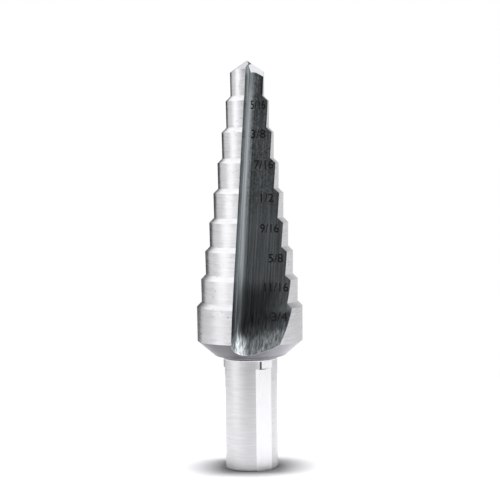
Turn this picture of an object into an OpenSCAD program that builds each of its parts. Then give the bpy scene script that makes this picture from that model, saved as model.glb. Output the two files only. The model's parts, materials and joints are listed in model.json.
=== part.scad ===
// Two-flute step drill, ground from one bar, standing on the end of its shank.
// The origin is the centre of the shank's end face and the point is up, along +Z.
// Seen from above it cuts turning anticlockwise, as a right-hand drill does.

/* [Steps] */
// Diameter of the smallest step, a quarter of an inch
tip_d = 6.35; // [5.5:0.05:8]
// Growth in diameter from each step to the next, a sixteenth of an inch
step_growth = 1.5875; // [1.3:0.0125:1.9]
// Number of steps
steps = 9; // [5:1:10]
// Height of the wall of the largest step
base_step_h = 5.9; // [4:0.1:8]
// Height of the second largest step, shoulder to shoulder
low_step_h = 4.84; // [4:0.02:6]
// How much taller each further step is than the one below it
step_h_gain = 0.11; // [0:0.005:0.2]
// Angle of the shoulder between two steps, from the drill's axis
shoulder_angle = 45; // [35:1:60]
// Radius that each step loses from its shoulder down to the next one
back_taper = 0.06; // [0.02:0.01:0.15]

/* [Lands] */
// How far each land's own centre lies off the axis, which relieves it behind its edge
relief_offset = 0.11; // [0.05:0.01:0.3]
// How far ahead of the cutting edge that centre lies, in degrees
relief_lead = 30; // [10:1:45]

/* [Flutes] */
// Lean of the cutting face from the axis
face_lean = 3.8; // [2:0.1:5]
// How far past the axis the cutting face lies at the point
face_past = 0.13; // [0.05:0.01:0.5]
// Lean of the flute's other wall from the axis
wall_lean = 6.03; // [4.5:0.01:7.5]
// How far in front of the axis that wall lies at the point
wall_front = 0.56; // [0.3:0.01:1]
// Radius in the root of the flute
root_r = 2.2; // [1:0.1:2.4]
// Radius of the wheel that grinds the flute, seen where it runs out
wheel_r = 38; // [24:1:60]
// Direction in which the wheel leaves the cutting face, from straight out of the other wall
wheel_turn = 8.5; // [4:0.5:15]
// Width beside the cutting face in which the flute runs out last and squarely
rim_w = 2.5; // [2.5:0.1:4]
// Slant of the line across the rest of the wall from which that runs out
exit_slant = 43; // [15:1:45]
// Height above the largest step's lower edge at which the flute starts to run out
exit_h = 6.5; // [5:0.05:12]

/* [Point] */
// Angle between the two lips
point_angle = 130; // [118:1:140]
// Clearance behind each lip
lip_clearance = 11; // [8:1:15]
// Rise of the heel behind that clearance from level, seen square to it
heel_rise = 35.6; // [30:0.2:45]
// Direction in which the heel rises, from the line of the lips
heel_swing = -82; // [-90:1:-60]
// How far the heel's surface stays short of the point
heel_short = 0.08; // [0.04:0.01:0.4]
// Half the width of web that the split leaves at the point
split_web = 0.08; // [0.05:0.01:0.3]
// Lean of the split's side from the axis, so that the web thickens downwards
split_lean = 15; // [10:1:25]
// Rise of the split's floor from level, seen square to it
split_rise = 54; // [45:1:65]
// Direction in which that floor rises, from the line of the lips
split_swing = 22; // [10:1:30]
// How far past the axis the split's floor reaches at the point
split_past = 0.25; // [0.1:0.01:0.5]
// Rise of the steeper facet between that floor and the point
peak_rise = 66; // [60:1:80]
// Direction in which that facet rises, from the line of the lips
peak_swing = 29; // [20:1:45]

/* [Shank] */
// Diameter of the shank, three eighths of an inch
shank_d = 9.525; // [8:0.025:12]
// Length of the shank up to the head
shank_h = 19.7; // [15:0.1:40]
// Round of the shank's end edge
end_round = 0.25; // [0.15:0.05:1]
// Radial width of the shallow ring under the head
ring_w = 1.5; // [0.8:0.1:2]
// Slope of that ring from level
ring_slope = 18; // [5:1:30]
// Slope of the cone from the ring out to the largest step, from level
cone_slope = 40.4; // [30:0.1:50]
// Round where the shank meets the ring
neck_r = 0.4; // [0.2:0.1:0.8]

/* [Chuck flats] */
// Number of flats round the shank
flats = 3; // [3:1:4]
// Width of each flat
flat_w = 3.12; // [2:0.02:4]
// Height of the flats from the shank's end
flat_h = 18.1; // [12:0.1:18.5]
// Direction of the first flat, anticlockwise from +X
flat_turn = -60; // [-90:0.1:0]
// Depth of the wheel mark above the first flat, below the flat
mark_depth = 0.1; // [0.05:0.01:0.3]
// Width of that mark's floor on the flat, up to the flat's far edge
mark_w = 1.82; // [1:0.1:2.5]
// Run of the mark's slanted side for each unit of its height
mark_slant = 2; // [0.5:0.1:3]

/* [Hidden] */
$fn = 96;
// A small overlap that keeps cuts clean through a face
over = 1;

shank_r = shank_d / 2;
ring_r = shank_r + ring_w;
ring_z = shank_h + ring_w * tan(ring_slope);
tip_r = tip_d / 2;
base_r = tip_r + (steps - 1) * step_growth / 2;
// Height of the largest step's lower edge, where the cone meets it
head_z = ring_z + (base_r - ring_r) * tan(cone_slope);
lip_z = shoulder_z(steps - 1);
lip_slope = 90 - point_angle / 2;
point_z = lip_z + tip_r * tan(lip_slope);
// The lands' circles are centred off the axis, towards this direction
land_turn = relief_lead - 90;
// The lands part on a plane through the axis that lies inside both flutes
parting_turn = -80;
land_shrink = relief_offset * cos(relief_lead);
exit_z = head_z + exit_h;
flat_off = sqrt(shank_r * shank_r - flat_w * flat_w / 4);
reach = 3 * base_r;
// Height from the flutes' run-out to the point, and the cutters' length with some to spare
flute_drop = point_z - exit_z;
flute_h = flute_drop + reach;
// Number of straight parts in the round under the head
neck_parts = 6;

// Radius of a step, counted up from the largest
function step_r(k) = tip_r + (steps - 1 - k) * step_growth / 2;
// Height at which the wall of a step ends and its shoulder begins
function shoulder_z(k) = head_z + base_step_h + k * low_step_h
    + step_h_gain * k * (k - 1) / 2;
// Height at which the shoulder below a step ends and its own wall begins
function wall_z(k) = shoulder_z(k - 1)
    + (step_growth / 2 + back_taper) / tan(shoulder_angle);

// The turned head, with its steps, about the centre of one land
module stepped_blank() {
    walls = [
        for (k = [0 : steps - 1], upper = [0, 1])
            upper == 1
                ? [step_r(k) - land_shrink, k == steps - 1 ? point_z + over : shoulder_z(k)]
                : [step_r(k) - land_shrink - back_taper, k == 0 ? shank_h - over : wall_z(k)]
    ];
    rotate_extrude()
        polygon(concat([[0, shank_h - over]], walls, [[0, point_z + over]]));
}

// Half of the head: one land, relieved behind its cutting edge
module land() {
    intersection() {
        translate([
            relief_offset * cos(land_turn),
            relief_offset * sin(land_turn),
            0
        ])
            stepped_blank();
        rotate(parting_turn - 90)
            translate([0, -reach, 0])
                cube([reach, 2 * reach, point_z + 2 * over]);
    }
}

// Everything inside the ring and the cone under the head
module underside_limit() {
    outer_r = base_r + over;
    outer_z = ring_z + (outer_r - ring_r) * tan(cone_slope);
    // The round turns from the shank's wall, at this height, into the ring
    round_z = shank_h - neck_r / tan(45 + ring_slope / 2);
    round_part = (90 - ring_slope) / neck_parts;
    round_arc = [
        for (i = [0 : neck_parts])
            [
                shank_r + neck_r - neck_r * cos(round_part * i),
                round_z + neck_r * sin(round_part * i)
            ]
    ];
    rotate_extrude()
        polygon(concat(
            [[0, round_z]],
            round_arc,
            [
                [ring_r, ring_z],
                [outer_r, outer_z],
                [outer_r, point_z + 2 * over],
                [0, point_z + 2 * over]
            ]
        ));
}

// The head before its flutes are ground
module head() {
    intersection() {
        for (turn = [0, 180])
            rotate(turn)
                land();
        underside_limit();
    }
}

// One chuck flat, up to the neck
module chuck_flat() {
    translate([flat_off, -shank_r, -over])
        cube([shank_r, shank_d, flat_h + over]);
}

// The mark that the wheel leaves in the neck above the first flat
module wheel_mark() {
    mark_off = flat_off - mark_depth;
    rise = shank_r + over - mark_off;
    side = flat_w / 2 - mark_w;
    translate([0, 0, flat_h])
        linear_extrude(ring_z - flat_h)
            polygon([
                [mark_off, side],
                [mark_off, shank_r],
                [mark_off + rise, shank_r],
                [mark_off + rise, side - rise * mark_slant]
            ]);
}

// The turned shank, with its end edge rounded
module turned_shank() {
    rotate_extrude()
        union() {
            square([shank_r - end_round, ring_z]);
            translate([0, end_round])
                square([shank_r, ring_z - end_round]);
            translate([shank_r - end_round, end_round])
                circle(end_round);
        }
}

// The shank, with flats for a chuck and a plain neck above them
module shank() {
    difference() {
        turned_shank();
        for (i = [0 : flats - 1])
            rotate(flat_turn + 360 * i / flats)
                chuck_flat();
        rotate(flat_turn)
            wheel_mark();
    }
}

// Section of a flute beside its cutting face, with the round root
module rim_section() {
    depth = base_r + over;
    difference() {
        translate([0, -depth])
            square([rim_w, depth]);
        difference() {
            translate([-over, -root_r])
                square(root_r + over);
            translate([root_r, -root_r])
                circle(root_r);
        }
    }
}

// The flute beside its cutting face: straight, then up the arc on which the wheel leaves it
module rim_groove() {
    linear_extrude(flute_h)
        rim_section();
    rotate(90 + wheel_turn)
        translate([-wheel_r, 0, 0])
            rotate([-90, 0, 0])
                rotate_extrude(angle = 90)
                    translate([wheel_r, 0])
                        rotate(-90 - wheel_turn)
                            rim_section();
}

// The rest of the flute, which runs out from a slanted line across its wall
module wall_groove() {
    slant_r = wheel_r * cos(exit_slant) * cos(exit_slant);
    intersection() {
        translate([rim_w, -reach, -reach])
            cube([reach, reach, 3 * reach]);
        translate([rim_w, 0, 0])
            rotate([0, -exit_slant, 0]) {
                translate([-2 * reach, -reach, 0])
                    cube([4 * reach, reach, 3 * reach]);
                translate([-reach, -slant_r, 0])
                    rotate([0, 90, 0])
                        cylinder(r = slant_r, h = 2 * reach);
            }
    }
}

// One flute, set where its walls would meet without their round
module flute() {
    translate([
        -face_past - flute_drop * tan(face_lean),
        -wall_front - flute_drop * tan(wall_lean),
        exit_z
    ])
        rotate([-wall_lean, face_lean, 0]) {
            rim_groove();
            wall_groove();
        }
}

// The clearance behind one lip and the steeper heel behind that
module lip_relief() {
    translate([0, 0, point_z]) {
        rotate([lip_slope, 0, 0])
            rotate([0, -lip_clearance, 0])
                translate([-reach, -reach, 0])
                    cube([2 * reach, 2 * reach, reach]);
        in_front(heel_rise, heel_swing, -heel_short);
    }
}

// Everything in front of a plane that rises away from the viewer through the point
module in_front(rise, swing, past) {
    rotate(swing)
        translate([0, past, 0])
            rotate([rise - 90, 0, 0])
                translate([-reach, -reach, -reach])
                    cube([2 * reach, reach, 2 * reach]);
}

// The split that thins the web in front of one lip
module point_split() {
    translate([0, 0, point_z])
        intersection() {
            translate([split_web, 0, 0])
                rotate([0, -split_lean, 0])
                    translate([0, -reach, -reach])
                        cube([reach, 2 * reach, 2 * reach]);
            in_front(split_rise, split_swing, split_past);
            in_front(peak_rise, peak_swing, 0);
        }
}

module step_drill() {
    color("silver")
        difference() {
            union() {
                head();
                shank();
            }
            for (turn = [0, 180])
                rotate(turn) {
                    flute();
                    lip_relief();
                    point_split();
                }
        }
}

step_drill();
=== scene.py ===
"""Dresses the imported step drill: its ground finishes, its size marks and a plain pale studio."""

import json
import math

import bmesh
import bpy
from bpy.props import (
    FloatProperty,
    FloatVectorProperty,
    IntProperty,
    PointerProperty,
)
from mathutils import Matrix, Vector

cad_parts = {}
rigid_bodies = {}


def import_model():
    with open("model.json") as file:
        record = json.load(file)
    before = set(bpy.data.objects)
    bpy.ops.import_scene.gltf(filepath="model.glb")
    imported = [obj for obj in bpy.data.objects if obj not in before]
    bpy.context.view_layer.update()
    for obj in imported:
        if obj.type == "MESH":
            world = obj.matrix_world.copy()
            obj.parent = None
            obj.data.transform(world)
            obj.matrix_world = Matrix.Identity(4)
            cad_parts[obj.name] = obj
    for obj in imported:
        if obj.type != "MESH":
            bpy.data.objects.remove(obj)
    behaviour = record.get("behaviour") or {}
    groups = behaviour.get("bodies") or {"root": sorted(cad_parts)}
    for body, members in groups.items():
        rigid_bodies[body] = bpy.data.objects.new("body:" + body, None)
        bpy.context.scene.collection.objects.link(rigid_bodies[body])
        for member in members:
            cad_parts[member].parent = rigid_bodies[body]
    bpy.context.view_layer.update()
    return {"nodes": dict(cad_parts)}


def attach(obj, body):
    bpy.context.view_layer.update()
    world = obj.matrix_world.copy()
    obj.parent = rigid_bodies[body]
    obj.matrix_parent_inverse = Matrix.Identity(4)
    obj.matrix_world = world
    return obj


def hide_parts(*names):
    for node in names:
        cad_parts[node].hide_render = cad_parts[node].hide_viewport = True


bl_info = {
    "name": "Step Drill",
    "version": (1, 0, 0),
    "blender": (4, 5, 0),
    "location": "3D View > Sidebar > Step Drill",
    "description": "Makes the finishes, size marks and studio of a nine-step drill",
    "category": "Add Mesh",
}

bpy.ops.object.select_all(action="SELECT")
bpy.ops.object.delete()
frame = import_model()
NODE = "step_drill"
MM = 0.001


def linear(hex_colour):
    """Turns an sRGB hex value into linear red, green and blue."""
    parts = [int(hex_colour[i : i + 2], 16) / 255 for i in (1, 3, 5)]
    return tuple(p / 12.92 if p <= 0.04045 else ((p + 0.055) / 1.055) ** 2.4 for p in parts)


def length(name, description, mm):
    """A length that a user may change, given in millimetres."""
    return FloatProperty(
        name=name, description=description, default=mm * MM, unit="LENGTH", precision=5
    )


def angle(name, description, degrees):
    """An angle that a user may change, given in degrees."""
    return FloatProperty(
        name=name, description=description, default=math.radians(degrees), subtype="ANGLE"
    )


def colour(name, description, hex_colour):
    """A colour that a user may change."""
    return FloatVectorProperty(
        name=name, description=description, default=linear(hex_colour),
        subtype="COLOR", min=0.0, max=1.0,
    )


# Sizes and colours


class DrillSizes(bpy.types.PropertyGroup):
    """Where the drill's own surfaces lie, as its source gives them, and the marks' sizes."""

    steps: IntProperty(name="Steps", description="Number of steps", default=9, min=5, max=10)
    tip_radius: length("Tip radius", "Radius of the smallest step", 3.175)
    step_growth: length("Step growth", "Growth in radius from step to step", 0.79375)
    head_height: length("Head height", "Height of the largest step's lower edge", 22.96)
    ring_height: length("Ring height", "Height of the neck's top, where the head starts", 19.6)
    land_offset: length("Land offset", "How far each land's centre lies off the axis", 0.11)
    flat_offset: length("Flat offset", "Distance of the chuck flats from the axis", 4.5)
    flat_height: length("Flat height", "Height of the chuck flats' upper end", 18.1)
    point_height: length("Point height", "Height of the drill's point", 72.15)
    wall_lean: angle("Wall lean", "Lean of the flute's wall from the axis", 6.03)
    face_lean: angle("Face lean", "Lean of the cutting face from the axis", 3.8)
    mark_height: length("Mark height", "Height of the size marks' figures", 1.52)
    mark_bold: length("Mark boldness", "How far each figure's outline is widened", 0.027)
    mark_proud: length("Mark proud", "How far the size marks stand off the wall", 0.006)


class DrillFinishes(bpy.types.PropertyGroup):
    """Colours of the drill's finishes."""

    land: colour("Lands", "Steel ground round the step walls", "#E2E2E4")
    shoulder: colour("Shoulders", "Steel ground on the shoulders", "#E0E0E3")
    flute: colour("Flutes", "Steel ground along the flutes", "#9EA4A7")
    point: colour("Point", "Steel ground on the point's facets", "#DCDCDE")
    cone: colour("Back cone", "Steel turned under the head", "#B4B4B9")
    shank: colour("Shank", "Satin steel of the shank", "#D1D1D2")
    flat: colour("Chuck flats", "Steel ground on the chuck flats", "#E6E6E7")
    # The wheel mark's dark colour is painted shade on its slanted side
    wheel_mark: colour("Wheel mark", "Steel in the mark above the front flat", "#5A5A5E")
    # The peak's dark colour is painted shade
    peak: colour("Peak", "Steel of the small facet beside the point, darkened as painted shade", "#6C6D70")
    figures: colour("Figures", "Laser-marked size figures", "#151617")


class StudioSettings(bpy.types.PropertyGroup):
    """The floor, light and camera."""

    camera_distance: length("Camera distance", "From the drill's axis to the camera", 250.0)
    camera_height: length("Camera height", "Height of the camera", 54.0)
    aim_height: length("Aim height", "Height that the camera looks at", 38.78)
    aim_side: length("Aim side", "How far to the side the camera stands", 0.16)
    roll: angle("Roll", "Turn of the camera about its own line of sight", -0.68)
    lens: FloatProperty(
        name="Lens", description="Focal length on a 36 mm sensor", default=101.7, unit="CAMERA"
    )
    lamp_height: length("Lamp height", "Height of the lamp over the floor", 900.0)
    lamp_width: length("Lamp width", "Width of the lamp from left to right", 340.0)
    lamp_depth: length("Lamp depth", "Depth of the lamp from front to back", 230.0)
    lamp_power: FloatProperty(
        name="Lamp power", description="Power of the lamp overhead", default=10.4, unit="POWER"
    )
    floor_radius: length("Floor radius", "Radius of the round floor", 110.0)
    floor: colour("Floor", "Pale matt floor", "#F4F3F6")


# Nodes


def add_node(tree, kind, inputs=(), **settings):
    """Adds one node with its own settings. Its inputs are given by name, or in the order in which
    the node shows them. Each takes a value, a socket, or the first result of another node."""
    node = tree.nodes.new(kind)
    for name, value in settings.items():
        setattr(node, name, value)
    if isinstance(inputs, dict):
        given = [(node.inputs[name], value) for name, value in inputs.items()]
    else:
        given = zip([socket for socket in node.inputs if socket.enabled], inputs)
    for socket, value in given:
        if isinstance(value, bpy.types.Node):
            value = next(output for output in value.outputs if output.enabled)
        if isinstance(value, bpy.types.NodeSocket):
            tree.links.new(value, socket)
        elif socket.type == "RGBA":
            socket.default_value = (*value, 1.0)
        else:
            socket.default_value = value
    return node


def new_material(name):
    """An empty material and its tree."""
    material = bpy.data.materials.new(name)
    material.use_nodes = True
    material.node_tree.nodes.clear()
    return material, material.node_tree


def streaks_in(tree, place, width, height, seed, detail=3.0, roughness=0.6):
    """Noise drawn out into streaks, or left in grains, of a width and a height in mm."""
    spaced = add_node(tree, "ShaderNodeMapping", {
        "Vector": place, "Location": (seed, seed, seed),
        "Scale": (1 / (width * MM), 1 / (width * MM), 1 / (height * MM))})
    return add_node(tree, "ShaderNodeTexNoise", {
        "Vector": spaced, "Scale": 1.0, "Detail": detail, "Roughness": roughness})


def axes_in_mm(tree, place):
    """A place's X, Y and Z in millimetres."""
    scaled = add_node(tree, "ShaderNodeVectorMath", [place, 1 / MM], operation="SCALE")
    return add_node(tree, "ShaderNodeSeparateXYZ", [scaled]).outputs


def level_along(tree, value, stops, span):
    """A level that follows a value within a span, from stops that give it at some values."""
    low, high = span
    share = add_node(tree, "ShaderNodeMapRange", [value, low, high])
    ramp = add_node(tree, "ShaderNodeValToRGB", [share])
    elements = ramp.color_ramp.elements
    for _ in range(len(stops) - len(elements)):
        elements.new(0.5)
    for element, (at, level) in zip(elements, stops):
        element.position = (at - low) / (high - low)
        element.color = (level, level, level, 1.0)
    return ramp


# Grinding lines


def round_lines(tree):
    """Lines that run round the axis, 0.3 mm apart: coarser than real, so that they show."""
    place = add_node(tree, "ShaderNodeTexCoord").outputs["Object"]
    return streaks_in(tree, place, 4.0, 0.3, seed=3.0)


def flute_lines(tree):
    """Lines that run along the flute, 0.25 mm apart: coarser than real, so that they show."""
    place = add_node(tree, "ShaderNodeAttribute", attribute_name="flute_place").outputs["Vector"]
    return streaks_in(tree, place, 0.25, 18.0, seed=7.0)


def upright_lines(tree):
    """Lines that run along the axis, 0.25 mm apart: coarser than real, so that they show."""
    place = add_node(tree, "ShaderNodeTexCoord").outputs["Object"]
    return streaks_in(tree, place, 0.25, 6.0, seed=5.0)


# Tones

# Painted shade and painted highlights on the flute at each height in mm, on its wall and in the
# round beside the cutting face: they stand in for reflections, dark where it mirrors the dim
# room in front and bright at the run-out
WALL_PAINTED_LIGHT = [
    (20.0, 0.36), (21.6, 0.38), (22.8, 0.34), (24.3, 0.16), (26.3, 0.15), (28.0, 0.35),
    (28.7, 0.45), (31.5, 0.5), (32.5, 0.65), (34.0, 0.95), (43.0, 0.95), (47.0, 0.72),
    (66.0, 0.6),
]
ROUND_PAINTED_LIGHT = [
    (20.0, 2.2), (21.8, 2.2), (22.8, 1.9), (24.0, 0.9), (24.6, 0.62), (26.3, 0.27), (28.7, 0.23),
    (31.5, 0.36), (34.0, 0.62), (36.0, 0.85), (60.0, 0.95), (66.0, 0.8), (68.0, 0.55),
]
# How bright the lands and shoulders are at each height in mm: duller on the largest step
LAND_TONE = [(20.0, 0.85), (28.8, 0.86), (29.0, 0.95), (33.5, 0.97), (34.0, 1.0)]
# From the head's foot to its point
HEIGHT_SPAN = (20.0, 72.0)

# Painted shade on the cone under the head at each place from left to right, in mm from the axis:
# it reflects the floor, and is drawn darker on its left
CONE_PAINTED_SHADE = [
    (-8.0, 0.27), (-6.4, 0.28), (-4.0, 0.4), (-2.5, 0.46), (0.0, 0.72), (2.2, 0.74), (3.2, 0.68),
    (5.0, 0.64), (7.0, 0.82),
]
CONE_SPAN = (-9.0, 9.0)

# The lines below that hold four numbers are limits: where a value starts and ends, and what it
# gives at its start and at its end. Lengths are in mm, and noise lies mostly between 0.3 and 0.7.

# Each bundle of scratches ends up to 0.8 mm above or below its tone's own height
BUNDLE_ENDS = (0.3, 0.7, -0.8, 0.8)
# Near the run-out the tones rise to the right: for each mm right of a line, the wall takes the
# tone that lies 0.35 mm lower
ASLANT_BELOW = (29.0, 27.0, 0.0, 1.0)
SLANT, SLANT_LINE = -0.35, 3.0
# The painted highlight where the wheel left is wider than the round above it
PATCH_WIDER = (25.2, 23.6, 0.0, 1.1)
# From left to right come the cutting face, which is never as dark as the round beside it, the
# round, and the wall
CUTTING_FACE = (0.75, 0.45, 0.0, 1.0)
ROUND_TO_WALL = (0.9, 1.7, 0.0, 1.0)
# A painted dark reflection on the wall, where it mirrors the dim room in front: painted shade,
# dark in its middle
DARK_REFLECTION_MIDDLE, DARK_REFLECTION_REACH = (5.2, 28.7), (6.0, 5.5)
DARK_REFLECTION_LEVEL = (0.0, 1.0, 0.35, 1.0)
# Bright and dark scratches at the run-out: real scratches, whose bright streaks are also painted
# highlights
SCRATCHED_BELOW = (28.0, 25.0, 0.0, 1.0)
SCRATCH_LEVEL = (0.35, 0.68, 0.45, 1.9)
# Mottled steel on the upper wall
MOTTLED_ABOVE = (42.0, 50.0, 0.0, 1.0)
MOTTLE_LEVEL = (0.35, 0.65, 0.7, 1.3)
# A darker rim at the right of the point
RIM_ABOVE = (65.8, 66.4, 0.0, 1.0)
RIM_LEVEL = (2.4, 2.75, 1.0, 0.35)
# A painted highlight along the run-out's edge, a glint where a rounded edge would turn away
EDGE_GLINT_WIDTH, EDGE_GLINT_LEVEL = 0.2, 0.9
EDGE_GLINT_TURN = (0.995, 0.93, 0.0, 1.0)
EDGE_GLINT_BELOW = (25.0, 24.0, 0.0, 1.0)

# Painted shade in the cone's corner with the neck
CORNER_PAINTED_SHADE = (20.2, 20.7, 0.6, 1.0)
# Only the peaks of the noise make pits in the lands
PIT_LEVEL = (0.71, 0.77, 1.0, 0.6)
# A painted shadow along the front flat's upper end, where the flat stops in a small step, lies
# within these limits up and across
FLAT_END_SHADOW = [
    ("Z", (17.93, 17.98, 0.0, 1.0)), ("Z", (18.09, 18.12, 1.0, 0.0)),
    ("X", (1.4, 1.6, 0.0, 1.0)), ("X", (2.2, 3.2, 1.0, 0.0)),
]
FLAT_END_SHADOW_LEVEL = (0.0, 1.0, 1.0, 0.25)


def flute_bands(tree, place, across, height):
    """The painted shade and highlights of the cutting face, the round and the wall, and where the
    wall is. They are ragged, because bundles of scratches 0.5 mm wide end at different heights."""
    bundles = streaks_in(tree, place, 0.5, 9.0, seed=2.0)
    ends = add_node(tree, "ShaderNodeMapRange", [bundles, *BUNDLE_ENDS])
    ragged = add_node(tree, "ShaderNodeMath", [height, ends], operation="ADD")
    right = add_node(tree, "ShaderNodeMath", [across, SLANT_LINE], operation="SUBTRACT")
    slant = add_node(tree, "ShaderNodeMath", [right, SLANT], operation="MULTIPLY")
    below = add_node(tree, "ShaderNodeMapRange", [height, *ASLANT_BELOW])
    aslant = add_node(tree, "ShaderNodeMath", [slant, below, ragged], operation="MULTIPLY_ADD")
    face = add_node(tree, "ShaderNodeMapRange", [across, *CUTTING_FACE])
    beside = add_node(tree, "ShaderNodeMath", [
        level_along(tree, ragged, ROUND_PAINTED_LIGHT, HEIGHT_SPAN), face], operation="MAXIMUM")
    wall = level_along(tree, aslant, WALL_PAINTED_LIGHT, HEIGHT_SPAN)
    wider = add_node(tree, "ShaderNodeMapRange", [height, *PATCH_WIDER])
    inner = add_node(tree, "ShaderNodeMath", [across, wider], operation="SUBTRACT")
    on_wall = add_node(tree, "ShaderNodeMapRange", [inner, *ROUND_TO_WALL])
    return add_node(tree, "ShaderNodeMix", [on_wall, beside, wall]), on_wall


def painted_reflection_patch(tree, place):
    """A painted dark reflection on the flute's wall: painted shade."""
    (x, z), (wide, high) = DARK_REFLECTION_MIDDLE, DARK_REFLECTION_REACH
    reach = add_node(tree, "ShaderNodeMapping", {
        "Vector": place, "Location": (-x / wide, 0.0, -z / high),
        "Scale": (1 / (wide * MM), 0.0, 1 / (high * MM))})
    far = add_node(tree, "ShaderNodeVectorMath", [reach], operation="LENGTH")
    return add_node(tree, "ShaderNodeMapRange", [far, *DARK_REFLECTION_LEVEL])


def run_out_painted_glint(tree, height):
    """How much painted highlight there is: a glint all along the run-out's edge, and none elsewhere.
    """
    rounded = add_node(tree, "ShaderNodeBevel", [EDGE_GLINT_WIDTH * MM], samples=EDGE_SAMPLES)
    plain = add_node(tree, "ShaderNodeNewGeometry").outputs["Normal"]
    turned = add_node(tree, "ShaderNodeVectorMath", [rounded, plain], operation="DOT_PRODUCT")
    edge = add_node(tree, "ShaderNodeMapRange", [turned, *EDGE_GLINT_TURN])
    low = add_node(tree, "ShaderNodeMapRange", [height, *EDGE_GLINT_BELOW])
    return add_node(tree, "ShaderNodeMath", [edge, low], operation="MULTIPLY")


def flute_tone_and_painted_light(tree):
    """The flute's tones: painted shade and highlights, ragged along its grinding lines, with a
    painted dark reflection above its run-out.
    """
    place = add_node(tree, "ShaderNodeAttribute", attribute_name="flute_place").outputs["Vector"]
    axes = axes_in_mm(tree, place)
    across, height = axes["X"], axes["Z"]
    bands, on_wall = flute_bands(tree, place, across, height)
    reflection_shade = painted_reflection_patch(tree, place)
    level = add_node(tree, "ShaderNodeMath", [bands, reflection_shade], operation="MULTIPLY")
    # Scratches 0.3 mm wide, with painted highlights in them, a mottle in grains of 0.4 mm on the wall
    # alone, and the darker rim
    scratches = streaks_in(tree, place, 0.3, 12.0, seed=4.0)
    mottle = streaks_in(tree, place, 0.4, 0.4, seed=6.0, detail=1.0, roughness=0.5)
    upper = add_node(tree, "ShaderNodeMapRange", [height, *MOTTLED_ABOVE])
    changes = [
        (add_node(tree, "ShaderNodeMapRange", [height, *SCRATCHED_BELOW]),
         add_node(tree, "ShaderNodeMapRange", [scratches, *SCRATCH_LEVEL])),
        (add_node(tree, "ShaderNodeMath", [upper, on_wall], operation="MULTIPLY"),
         add_node(tree, "ShaderNodeMapRange", [mottle, *MOTTLE_LEVEL])),
        (add_node(tree, "ShaderNodeMapRange", [height, *RIM_ABOVE]),
         add_node(tree, "ShaderNodeMapRange", [across, *RIM_LEVEL])),
    ]
    for share, change in changes:
        faded = add_node(tree, "ShaderNodeMix", [share, 1.0, change])
        level = add_node(tree, "ShaderNodeMath", [level, faded], operation="MULTIPLY")
    edge_glint = run_out_painted_glint(tree, height)
    return add_node(tree, "ShaderNodeMath", [edge_glint, EDGE_GLINT_LEVEL, level], operation="MULTIPLY_ADD")


def cone_painted_shade(tree):
    """The back cone's painted shade: darker on its left, and in its corner with the neck."""
    axes = axes_in_mm(tree, add_node(tree, "ShaderNodeTexCoord").outputs["Object"])
    corner = add_node(tree, "ShaderNodeMapRange", [axes["Z"], *CORNER_PAINTED_SHADE])
    return add_node(tree, "ShaderNodeMath", [
        level_along(tree, axes["X"], CONE_PAINTED_SHADE, CONE_SPAN), corner], operation="MULTIPLY")


def land_tone(tree):
    """The lands' tone: duller on the largest step, with pits in grains of 0.6 mm, coarser than
    real, so that they show."""
    place = add_node(tree, "ShaderNodeTexCoord").outputs["Object"]
    grains = streaks_in(tree, place, 0.6, 0.6, seed=9.0, detail=1.0, roughness=0.5)
    pits = add_node(tree, "ShaderNodeMapRange", [grains, *PIT_LEVEL])
    height = axes_in_mm(tree, place)["Z"]
    return add_node(tree, "ShaderNodeMath", [
        level_along(tree, height, LAND_TONE, HEIGHT_SPAN), pits], operation="MULTIPLY")


def flat_painted_shadow(tree):
    """The chuck flats' tone: even, with a painted shadow along the upper end of the front one."""
    axes = axes_in_mm(tree, add_node(tree, "ShaderNodeTexCoord").outputs["Object"])
    share = add_node(tree, "ShaderNodeMath", [axes["Y"], 0.0], operation="LESS_THAN")
    for axis, limits in FLAT_END_SHADOW:
        within = add_node(tree, "ShaderNodeMapRange", [axes[axis], *limits])
        share = add_node(tree, "ShaderNodeMath", [share, within], operation="MULTIPLY")
    return add_node(tree, "ShaderNodeMapRange", [share, *FLAT_END_SHADOW_LEVEL])


# Materials

# The noise of the grinding lines lies mostly in this span
NOISE_SPAN = (0.3, 0.7)
# In mm: the small round on every sharp edge, and how deep the lines are at full strength
EDGE_ROUND, LINE_DEPTH = 0.06, 0.02
# Enough samples for an edge's round to look even
EDGE_SAMPLES = 6
# How far the roughness varies with the lines
ROUGHNESS_SHARES = (0.85, 1.15)


def ground_steel(name, tint, lines, roughness, depth, spread=0.0, turn=0.0, shade=(0.9, 1.06),
                 tone=None):
    """Bare tool steel: a tint varied by its grinding lines and by its own tone over the surface,
    which on some finishes holds painted shade and highlights.
    """
    material, tree = new_material(name)
    pattern = lines(tree)
    level = add_node(tree, "ShaderNodeMapRange", [pattern, *NOISE_SPAN, *shade])
    if tone:
        level = add_node(tree, "ShaderNodeMath", [level, tone(tree)], operation="MULTIPLY")
    shaded = add_node(tree, "ShaderNodeVectorMath", [tint, level], operation="SCALE")
    rough = add_node(tree, "ShaderNodeMapRange", [
        pattern, *NOISE_SPAN, *(roughness * share for share in ROUGHNESS_SHARES)])
    rounded = add_node(tree, "ShaderNodeBevel", [EDGE_ROUND * MM], samples=EDGE_SAMPLES)
    bump = add_node(tree, "ShaderNodeBump", {
        "Strength": depth, "Distance": LINE_DEPTH * MM, "Height": pattern, "Normal": rounded})
    shader = add_node(tree, "ShaderNodeBsdfPrincipled", {
        "Metallic": 1.0, "Base Color": shaded, "Roughness": rough, "Normal": bump})
    if spread:
        shader.inputs["Anisotropic"].default_value = spread
        shader.inputs["Anisotropic Rotation"].default_value = turn
        tangent = add_node(tree, "ShaderNodeTangent", direction_type="RADIAL", axis="Z")
        tree.links.new(tangent.outputs["Tangent"], shader.inputs["Tangent"])
    add_node(tree, "ShaderNodeOutputMaterial", {"Surface": shader})
    return material


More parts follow.
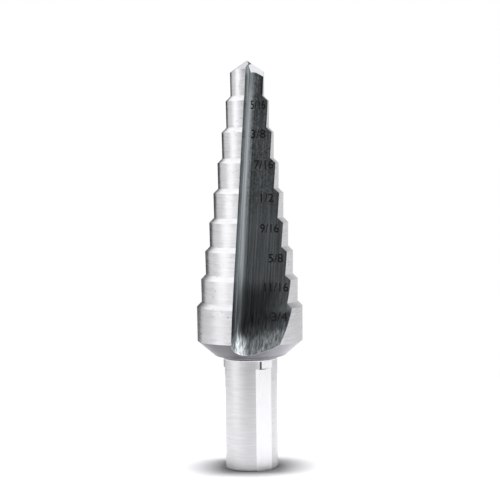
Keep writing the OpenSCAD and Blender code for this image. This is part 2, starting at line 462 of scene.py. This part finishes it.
# The drill's finishes. Each is named for the zone of the drill that it is on, as its colour is
FINISHES = {
    # Tool steel ground round its axis: bright, with highlights drawn up and down
    "land": dict(
        name="land_cylindrically_ground_steel", lines=round_lines, roughness=0.3, depth=0.25,
        spread=0.8, turn=0.25, tone=land_tone),
    # Tool steel ground on the shoulder's cone: bright, and softer than the lands
    "shoulder": dict(
        name="shoulder_form_ground_steel", lines=round_lines, roughness=0.34, depth=0.15,
        spread=0.4, turn=0.25, tone=land_tone),
    # Tool steel ground along the flute, with fine lines along its length; its dark and bright bands
    # are painted shade and painted highlights
    "flute": dict(
        name="flute_wheel_ground_steel", lines=flute_lines, roughness=0.24, depth=0.3,
        spread=0.5, shade=(0.62, 1.35), tone=flute_tone_and_painted_light),
    # Tool steel ground on the point's facets
    "point": dict(
        name="point_facet_ground_steel", lines=upright_lines, roughness=0.3, depth=0.2),
    # Tool steel turned and left so under the head: duller, with tool lines round it, and painted
    # shade on its left and in its corner
    "cone": dict(
        name="back_cone_turned_steel", lines=round_lines, roughness=0.35, depth=0.5,
        spread=0.3, turn=0.25, tone=cone_painted_shade),
    # Satin steel of the shank: centreless ground, with soft highlights
    "shank": dict(
        name="shank_satin_steel", lines=round_lines, roughness=0.32, depth=0.1, spread=0.3,
        turn=0.25),
    # Chuck flats: surface ground, nearly white
    "flat": dict(
        name="flat_surface_ground_steel", lines=upright_lines, roughness=0.3, depth=0.15,
        shade=(0.97, 1.02), tone=flat_painted_shadow),
    # The slanted side of the flats' wheel mark: rough, and dark with painted shade
    "wheel_mark": dict(
        name="wheel_mark_rough_steel", lines=round_lines, roughness=0.55, depth=0.3),
    # The small facet beside the point: dark with painted shade
    "peak": dict(
        name="peak_burnt_steel", lines=upright_lines, roughness=0.4, depth=0.3),
}
ZONES = list(FINISHES)

# The grinding lines break the figures' oxide: from noise to its level
OXIDE_LEVEL = (0.35, 0.65, 0.6, 1.4)


def laser_mark(tint):
    """Laser-marked steel: an oxide a few microns thick, dark and matt, broken by the grinding."""
    material, tree = new_material("laser_mark_oxide")
    broken = add_node(tree, "ShaderNodeMapRange", [upright_lines(tree), *OXIDE_LEVEL])
    shaded = add_node(tree, "ShaderNodeVectorMath", [tint, broken], operation="SCALE")
    shader = add_node(tree, "ShaderNodeBsdfPrincipled", {
        "Base Color": shaded, "Specular IOR Level": 0.15, "Roughness": 0.7})
    add_node(tree, "ShaderNodeOutputMaterial", {"Surface": shader})
    return material


# The drill's body

# The facets at the point: how far each rises from level and the direction in which it rises, in
# degrees. The point's are the clearance behind a lip, the heel, the split's floor and its side.
FACETS = {
    "peak": [(66.0, 29.0)],
    "point": [(27.2, -24.7), (35.6, -82.0), (54.0, 22.0), (75.0, 90.0)],
}
# In mm: the height above which the facets lie
FACETS_ABOVE = 66.0

# In degrees round the axis: the ways that the chuck flats face, and the way in which the lands'
# centres lie off the axis
FLAT_TURNS = (-60.0, 60.0, 180.0)
LAND_TURN = -60.0
# How far the wheel mark's slanted side runs for each mm that it goes in
MARK_SLANT = 2.0

# How closely a face has to face a surface's own way to be part of it, as the cosine between the
# two, and how far off it in mm it may lie
FLAT_AIM, FLAT_NEAR = 0.9999, 0.2
FACET_AIM = 0.9995
MARK_AIM, SHANK_AIM = 0.999, 0.95
LAND_AIM, LAND_NEAR = 0.985, 0.17
# How far a face looks up or down, from -1 to 1: the back cone's faces look further down than the
# first, the lands' look less far either way than the second, and the shoulders' lie in between
# the last two
CONE_LEAN = -0.2
LAND_LEAN = 0.15
SHOULDER_LEAN = (0.6, 0.8)
# How far a face has to look sideways to be a land or a shoulder
LEAST_SIDEWAYS = 0.1
# In mm: how far the cone's rounded rim reaches above the largest step's lower edge
CONE_RIM = 0.1

# Past this turn, in degrees, an edge between two faces is drawn sharp
SHARP_TURN = 20.0
# In mm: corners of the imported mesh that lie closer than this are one
SAME_PLACE = 0.001


def around(degrees):
    """The level direction at an angle round the axis."""
    turn = math.radians(degrees)
    return Vector((math.cos(turn), math.sin(turn), 0))


def facet_ways(rise, swing):
    """The ways that a facet, and its twin on the drill's other side, face."""
    rise, swing = math.radians(rise), math.radians(swing)
    x, y = math.sin(rise) * math.sin(swing), -math.sin(rise) * math.cos(swing)
    return [Vector((side * x, side * y, math.cos(rise))) for side in (1, -1)]


def shank_zone(sizes, centre, normal):
    """Which finish a face below the head has."""
    outward = Vector((centre.x, centre.y, 0)).normalized()
    for turn in FLAT_TURNS:
        out = around(turn)
        near = abs(sizes.flat_offset - centre.dot(out)) < FLAT_NEAR * MM
        if near and normal.dot(out) > FLAT_AIM:
            return "flat"
        side = around(turn + math.degrees(math.atan(1 / MARK_SLANT)))
        if (centre.z > sizes.flat_height and normal.dot(side) > MARK_AIM
                and normal.dot(outward) < SHANK_AIM):
            return "wheel_mark"
    return "shank"


def head_zone(sizes, centre, normal):
    """Which finish a face of the head has."""
    if normal.z < CONE_LEAN and centre.z < sizes.head_height + CONE_RIM * MM:
        return "cone"
    if centre.z > FACETS_ABOVE * MM:
        for zone, facets in FACETS.items():
            ways = [way for facet in facets for way in facet_ways(*facet)]
            if max(normal.dot(way) for way in ways) > FACET_AIM:
                return zone
    radii = [sizes.tip_radius + k * sizes.step_growth for k in range(sizes.steps)]
    level = Vector((normal.x, normal.y, 0))
    for side in (1, -1):
        out = Vector((centre.x, centre.y, 0)) - side * sizes.land_offset * around(LAND_TURN)
        aims_out = level.normalized().dot(out.normalized()) > LAND_AIM
        if level.length > LEAST_SIDEWAYS and aims_out:
            on_step = any(abs(out.length - radius) < LAND_NEAR * MM for radius in radii)
            if on_step and abs(normal.z) < LAND_LEAN:
                return "land"
            if SHOULDER_LEAN[0] < normal.z < SHOULDER_LEAN[1]:
                return "shoulder"
    return "flute"


def give_finishes(built, sizes):
    """Gives each face its finish, and each corner its place as seen along its own flute, so that
    the flute's pattern follows it."""
    place = built.loops.layers.float_vector.new("flute_place")
    for face in built.faces:
        face.smooth = True
        middle = face.calc_center_median()
        zone_of = shank_zone if middle.z < sizes.ring_height else head_zone
        face.material_index = ZONES.index(zone_of(sizes, middle, face.normal))
        side = -1 if middle.y > 0 else 1
        for corner in face.loops:
            x, y, z = corner.vert.co
            drop = sizes.point_height - z
            corner[place] = (
                side * x + drop * math.tan(sizes.face_lean),
                side * y + drop * math.tan(sizes.wall_lean), z)


def sharpen_edges(built):
    """Draws an edge sharp where two finishes meet or the surface turns there."""
    for edge in built.edges:
        if len(edge.link_faces) != 2:
            raise RuntimeError("The packed solid isn't closed")
        one, two = edge.link_faces
        turn = one.normal.angle(two.normal, 0)
        same = one.material_index == two.material_index
        edge.smooth = same and turn < math.radians(SHARP_TURN)


def plain_mesh(context, maker):
    """An object's mesh as its modifiers leave it."""
    context.view_layer.update()
    return bpy.data.meshes.new_from_object(
        maker.evaluated_get(context.evaluated_depsgraph_get()))


class STEPDRILL_OT_body(bpy.types.Operator):
    """Makes the drill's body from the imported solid, with smooth rounds, sharp edges and finishes"""

    bl_idname = "stepdrill.body"
    bl_label = "Drill Body"

    def execute(self, context):
        scene = context.scene
        mesh = frame["nodes"][NODE].data.copy()
        mesh.materials.clear()
        for zone, finish in FINISHES.items():
            tint = getattr(scene.drill_finishes, zone)
            mesh.materials.append(ground_steel(tint=tint, **finish))
        built = bmesh.new()
        built.from_mesh(mesh)
        bmesh.ops.remove_doubles(built, verts=built.verts, dist=SAME_PLACE * MM)
        give_finishes(built, scene.drill_sizes)
        sharpen_edges(built)
        built.to_mesh(mesh)
        built.free()
        body = bpy.data.objects.new("ground_drill", mesh)
        scene.collection.objects.link(body)
        weigh = body.modifiers.new("Weighted normals", "WEIGHTED_NORMAL")
        weigh.mode = "FACE_AREA"
        weigh.keep_sharp = True
        finished = plain_mesh(context, body)
        body.modifiers.clear()
        body.data = finished
        finished.name = "ground_drill"
        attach(body, "root")
        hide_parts(NODE)
        return {"FINISHED"}


# Size marks

# Each mark: its fraction of an inch, how far right of the axis and up it starts, in mm, and how
# wide its figures are beside the font's own
SIZE_MARKS = [
    ("5/16", 0.50, 63.63, 0.70), ("3/8", 0.45, 58.54, 0.97), ("7/16", 1.00, 53.17, 0.89),
    ("1/2", 1.75, 47.35, 0.97), ("9/16", 1.93, 42.03, 0.87), ("5/8", 3.30, 36.83, 0.96),
    ("11/16", 2.20, 31.78, 0.94), ("3/4", 3.60, 26.73, 1.07),
]
# How much of the font's line height a figure fills, and how far apart figures stand beside the
# font's own
FIGURE_SHARE = 0.72
FIGURE_SPACING = 1.02
# How many times each face of a figure is cut in four, so that it can follow the flute's round
FIGURE_CUTS = 2
# How far in front of the axis the figures stand before they are laid on the wall, in radii of the
# smallest step
START_RADII = 5.0
# What the tree of a mark is given, and the kind of each
MARK_INPUTS = {
    "Geometry": "Geometry", "Figures": "String", "Height": "Float", "Width": "Float",
    "Bold": "Float", "Place": "Vector", "Body": "Object", "Proud": "Float",
    "Finish": "Material",
}


def bold_figures(tree, given):
    """Flat figures with bold strokes: their outlines are moved outward in their own plane."""
    letters = add_node(tree, "GeometryNodeStringToCurves", {
        "String": given["Figures"], "Size": given["Height"],
        "Character Spacing": FIGURE_SPACING})
    outline = add_node(tree, "GeometryNodeRealizeInstances", {"Geometry": letters})
    points = add_node(tree, "GeometryNodeResampleCurve", {"Curve": outline}, mode="EVALUATED")
    along = add_node(tree, "GeometryNodeInputTangent")
    outward = add_node(tree, "ShaderNodeVectorMath", [along, (0.0, 0.0, 1.0)],
                       operation="CROSS_PRODUCT")
    widened = add_node(tree, "ShaderNodeVectorMath", [outward, given["Bold"]], operation="SCALE")
    bold = add_node(tree, "GeometryNodeSetPosition", {"Geometry": points, "Offset": widened})
    filled = add_node(tree, "GeometryNodeFillCurve", {"Curve": bold})
    return add_node(tree, "GeometryNodeSubdivideMesh", {"Mesh": filled, "Level": FIGURE_CUTS})


def laid_on_wall(tree, given, figures):
    """Figures stood up in front of the drill, laid straight back on its wall, and lifted a little
    off it."""
    narrow = add_node(tree, "ShaderNodeCombineXYZ", [given["Width"], 1.0, 1.0])
    upright = add_node(tree, "ShaderNodeCombineXYZ", [math.pi / 2])
    stood = add_node(tree, "GeometryNodeTransform", {
        "Geometry": figures, "Translation": given["Place"], "Rotation": upright,
        "Scale": narrow})
    body = add_node(tree, "GeometryNodeObjectInfo", {"Object": given["Body"]})
    ray = add_node(tree, "GeometryNodeRaycast", {
        "Target Geometry": body.outputs["Geometry"], "Ray Direction": (0.0, 1.0, 0.0),
        "Ray Length": 1.0}).outputs
    lift = add_node(tree, "ShaderNodeVectorMath", [ray["Hit Normal"], given["Proud"]],
                    operation="SCALE")
    surface = add_node(tree, "ShaderNodeVectorMath", [ray["Hit Position"], lift], operation="ADD")
    return add_node(tree, "GeometryNodeSetPosition", {"Geometry": stood, "Position": surface})


def mark_tree():
    """Geometry Nodes that turn a fraction into a flat figure that lies on the flute's wall."""
    tree = bpy.data.node_groups.new("size_mark", "GeometryNodeTree")
    for name, kind in MARK_INPUTS.items():
        tree.interface.new_socket(name, in_out="INPUT", socket_type=f"NodeSocket{kind}")
    tree.interface.new_socket("Geometry", in_out="OUTPUT", socket_type="NodeSocketGeometry")
    given = add_node(tree, "NodeGroupInput").outputs
    laid = laid_on_wall(tree, given, bold_figures(tree, given))
    whole = add_node(tree, "GeometryNodeRealizeInstances", {"Geometry": laid})
    finished = add_node(tree, "GeometryNodeSetMaterial", {
        "Geometry": whole, "Material": given["Finish"]})
    add_node(tree, "NodeGroupOutput", {"Geometry": finished})
    return tree


def made_mark(context, tree, values):
    """One size mark as a plain mesh, from values for the tree's named inputs."""
    mark = bpy.data.objects.new("mark", bpy.data.meshes.new("mark"))
    context.scene.collection.objects.link(mark)
    maker = mark.modifiers.new("Size mark", "NODES")
    maker.node_group = tree
    for item in tree.interface.items_tree:
        if item.in_out == "INPUT" and item.name in values:
            maker[item.identifier] = values[item.name]
    made = plain_mesh(context, mark)
    bpy.data.objects.remove(mark)
    if not made.polygons:
        raise RuntimeError(f"The size mark {values['Figures']} came out empty")
    return made


class STEPDRILL_OT_size_marks(bpy.types.Operator):
    """Marks the sizes of all steps but the smallest on the wall of the flute, as fractions of an inch
    """

    bl_idname = "stepdrill.size_marks"
    bl_label = "Size Marks"

    def execute(self, context):
        scene = context.scene
        sizes = scene.drill_sizes
        tree = mark_tree()
        finish = laser_mark(scene.drill_finishes.figures)
        whole = bmesh.new()
        for figures, side, height, width in SIZE_MARKS:
            whole.from_mesh(made_mark(context, tree, {
                "Figures": figures, "Height": sizes.mark_height / FIGURE_SHARE,
                "Width": width, "Bold": sizes.mark_bold,
                "Place": (side * MM, -sizes.tip_radius * START_RADII, height * MM),
                "Body": bpy.data.objects["ground_drill"], "Proud": sizes.mark_proud,
                "Finish": finish,
            }))
        mesh = bpy.data.meshes.new("size_marks")
        whole.to_mesh(mesh)
        whole.free()
        mesh.materials.append(finish)
        marks = bpy.data.objects.new("size_marks", mesh)
        scene.collection.objects.link(marks)
        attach(marks, "root")
        return {"FINISHED"}


# The studio

# How bright the room is in each direction round the drill, as metal sees it: 0 is behind the
# camera and 1, a half turn, is behind the drill, on its left and on its right
LEFT_ROOM = [
    (0.0, 0.3), (0.1, 0.34), (0.19, 0.6), (0.24, 0.82), (0.29, 1.05), (0.34, 1.38), (0.42, 1.4),
    (0.48, 1.08), (0.53, 0.8), (0.68, 0.68), (0.73, 0.55), (0.77, 0.03), (0.985, 0.02),
    (1.0, 1.0),
]
RIGHT_ROOM = [
    (0.0, 0.3), (0.1, 0.36), (0.2, 0.66), (0.27, 1.05), (0.38, 1.05), (0.46, 0.8), (0.8, 0.72),
    (0.96, 0.7), (0.975, 1.0),
]
HALF_TURN = (0.0, 1.0)

# Limits, as for the tones: where a direction's part starts and ends, and the level at each. The
# gap where the camera stands is low in front, the roof is brightest on its left, and the floor's
# sweep is below.
GAP_TOP = (0.08, 0.36, 1.0, 0.0)
GAP_FOOT = (-0.04, 0.0, 0.0, 1.0)
GAP_SIDES = (0.03, 0.2, 0.93, 0.0)
ROOF_RISE = (0.3, 0.6, 0.0, 1.0)
ROOF_LEVEL = (0.25, 0.9, 1.4, 0.4)
SWEEP_FALL = (-0.05, -0.4, 0.0, 1.0)
SWEEP_COLOUR = linear("#EDEDF0")
GAP_COLOUR = linear("#000000")
WHITE = linear("#FFFFFF")
# How bright the room is that lights what is matt
MATT_ROOM = 0.2

# So many sides make the floor's rim look round
FLOOR_SIDES = 96
# In mm, as cameras' sensors are measured
SENSOR_WIDTH = 36.0
# In metres: what the camera sees lies between these distances
VIEW_REACH = (0.01, 50.0)


def metal_room(tree):
    """The room as metal sees it: soft panels left and right with a dim gap in front."""
    way = add_node(tree, "ShaderNodeSeparateXYZ", [
        add_node(tree, "ShaderNodeTexCoord").outputs["Generated"]]).outputs
    back = add_node(tree, "ShaderNodeMath", [way["Y"], -1.0], operation="MULTIPLY")
    turn = add_node(tree, "ShaderNodeMath", [way["X"], back], operation="ARCTAN2")
    share = add_node(tree, "ShaderNodeMath", [turn, math.pi], operation="DIVIDE")
    apart = add_node(tree, "ShaderNodeMath", [share], operation="ABSOLUTE")
    left = level_along(tree, apart, LEFT_ROOM, HALF_TURN)
    right = level_along(tree, apart, RIGHT_ROOM, HALF_TURN)
    on_right = add_node(tree, "ShaderNodeMath", [way["X"], 0.0], operation="GREATER_THAN")
    gap = add_node(tree, "ShaderNodeMapRange", [apart, *GAP_SIDES])
    for limits in (GAP_TOP, GAP_FOOT):
        within = add_node(tree, "ShaderNodeMapRange", [way["Z"], *limits])
        gap = add_node(tree, "ShaderNodeMath", [gap, within], operation="MULTIPLY")
    roof = add_node(tree, "ShaderNodeMapRange", [way["Z"], *ROOF_RISE])
    far_right = add_node(tree, "ShaderNodeMath", [way["X"], way["Y"]], operation="ADD")
    roof_level = add_node(tree, "ShaderNodeMapRange", [far_right, *ROOF_LEVEL])
    sweep = add_node(tree, "ShaderNodeMapRange", [way["Z"], *SWEEP_FALL])
    # Each layer of the room covers those before it as far as its share says
    room = left
    for share, layer in ((on_right, right), (gap, GAP_COLOUR), (roof, roof_level),
                         (sweep, SWEEP_COLOUR)):
        room = add_node(tree, "ShaderNodeMix", [share, room, layer], data_type="RGBA")
    return room


def room_light(scene):
    """A white room to the camera, the room of panels to metal, and an even dim room to what is
    matt, such as the floor, which also sees that one by way of the steel."""
    world = bpy.data.worlds.new("studio_room")
    scene.world = world
    world.use_nodes = True
    tree = world.node_tree
    tree.nodes.clear()
    seen = add_node(tree, "ShaderNodeLightPath").outputs
    for_metal = add_node(tree, "ShaderNodeBackground", [metal_room(tree)])
    for_matt = add_node(tree, "ShaderNodeBackground", [WHITE, MATT_ROOM])
    for_camera = add_node(tree, "ShaderNodeBackground", [WHITE])
    from_matt = add_node(tree, "ShaderNodeMath", [seen["Diffuse Depth"], 0.5],
                         operation="GREATER_THAN")
    lit = add_node(tree, "ShaderNodeMixShader", [from_matt, for_metal, for_matt])
    whole = add_node(tree, "ShaderNodeMixShader", [seen["Is Camera Ray"], lit, for_camera])
    add_node(tree, "ShaderNodeOutputWorld", {"Surface": whole})


def floor_material(tint):
    """Matt white paper: white where it is lit, with the drill's soft shadow left in it."""
    material, tree = new_material("floor_matt_paper")
    matt = add_node(tree, "ShaderNodeBsdfDiffuse", {"Color": tint})
    add_node(tree, "ShaderNodeOutputMaterial", {"Surface": matt})
    return material


def add_floor(scene, studio):
    """A round pale floor, which isn't part of the drill."""
    mesh = bpy.data.meshes.new("floor")
    built = bmesh.new()
    bmesh.ops.create_circle(built, cap_ends=True, segments=FLOOR_SIDES, radius=studio.floor_radius)
    built.to_mesh(mesh)
    built.free()
    mesh.materials.append(floor_material(studio.floor))
    floor = bpy.data.objects.new("floor", mesh)
    scene.collection.objects.link(floor)


def add_lamp(scene, studio):
    """A soft lamp overhead, which shows in no reflection."""
    lamp = bpy.data.lights.new("overhead_lamp", "AREA")
    lamp.shape = "RECTANGLE"
    lamp.energy = studio.lamp_power
    lamp.size = studio.lamp_width
    lamp.size_y = studio.lamp_depth
    overhead = bpy.data.objects.new("overhead_lamp", lamp)
    overhead.location = (0.0, 0.0, studio.lamp_height)
    overhead.visible_glossy = False
    overhead.visible_camera = False
    scene.collection.objects.link(overhead)


def add_camera(scene, studio):
    """The camera at the photograph's angle, turned a little about its own line of sight."""
    camera = bpy.data.objects.new("camera", bpy.data.cameras.new("camera"))
    camera.data.lens = studio.lens
    camera.data.sensor_width = SENSOR_WIDTH
    camera.data.clip_start, camera.data.clip_end = VIEW_REACH
    eye = Vector((studio.aim_side, -studio.camera_distance, studio.camera_height))
    aim = Vector((studio.aim_side, 0.0, studio.aim_height))
    aimed = (aim - eye).to_track_quat("-Z", "Y").to_matrix()
    rolled = aimed @ Matrix.Rotation(studio.roll, 3, "Z")
    camera.location = eye
    camera.rotation_mode = "QUATERNION"
    camera.rotation_quaternion = rolled.to_quaternion()
    scene.collection.objects.link(camera)
    scene.camera = camera


class STEPDRILL_OT_stage(bpy.types.Operator):
    """Makes the plain pale floor, the soft light and the camera at the photograph's angle"""

    bl_idname = "stepdrill.stage"
    bl_label = "Studio Stage"

    def execute(self, context):
        scene = context.scene
        add_floor(scene, scene.drill_studio)
        add_lamp(scene, scene.drill_studio)
        room_light(scene)
        add_camera(scene, scene.drill_studio)
        scene.view_settings.view_transform = "Standard"
        return {"FINISHED"}


# Panel and registration


class STEPDRILL_PT_panel(bpy.types.Panel):
    """Lists the drill's pieces, sizes and finishes"""

    bl_idname = "STEPDRILL_PT_panel"
    bl_label = "Step Drill"
    bl_space_type = "VIEW_3D"
    bl_region_type = "UI"
    bl_category = "Step Drill"

    def draw(self, context):
        layout, scene = self.layout, context.scene
        for operator in OPERATORS:
            layout.operator(operator.bl_idname)
        for name, group in GROUPS.items():
            box = layout.box()
            for setting in group.__annotations__:
                box.prop(getattr(scene, name), setting)


GROUPS = {
    "drill_sizes": DrillSizes, "drill_finishes": DrillFinishes, "drill_studio": StudioSettings,
}
OPERATORS = (STEPDRILL_OT_stage, STEPDRILL_OT_body, STEPDRILL_OT_size_marks)
CLASSES = (*GROUPS.values(), *OPERATORS, STEPDRILL_PT_panel)


def register():
    """Adds the classes, and the drill's settings to the scene."""
    for cls in CLASSES:
        bpy.utils.register_class(cls)
    for name, group in GROUPS.items():
        setattr(bpy.types.Scene, name, PointerProperty(type=group))


def unregister():
    """Takes away what register adds."""
    for name in GROUPS:
        delattr(bpy.types.Scene, name)
    for cls in reversed(CLASSES):
        bpy.utils.unregister_class(cls)


def main():
    """Makes everything in order."""
    register()
    bpy.ops.stepdrill.stage()
    bpy.ops.stepdrill.body()
    bpy.ops.stepdrill.size_marks()


if __name__ == "__main__":
    main()
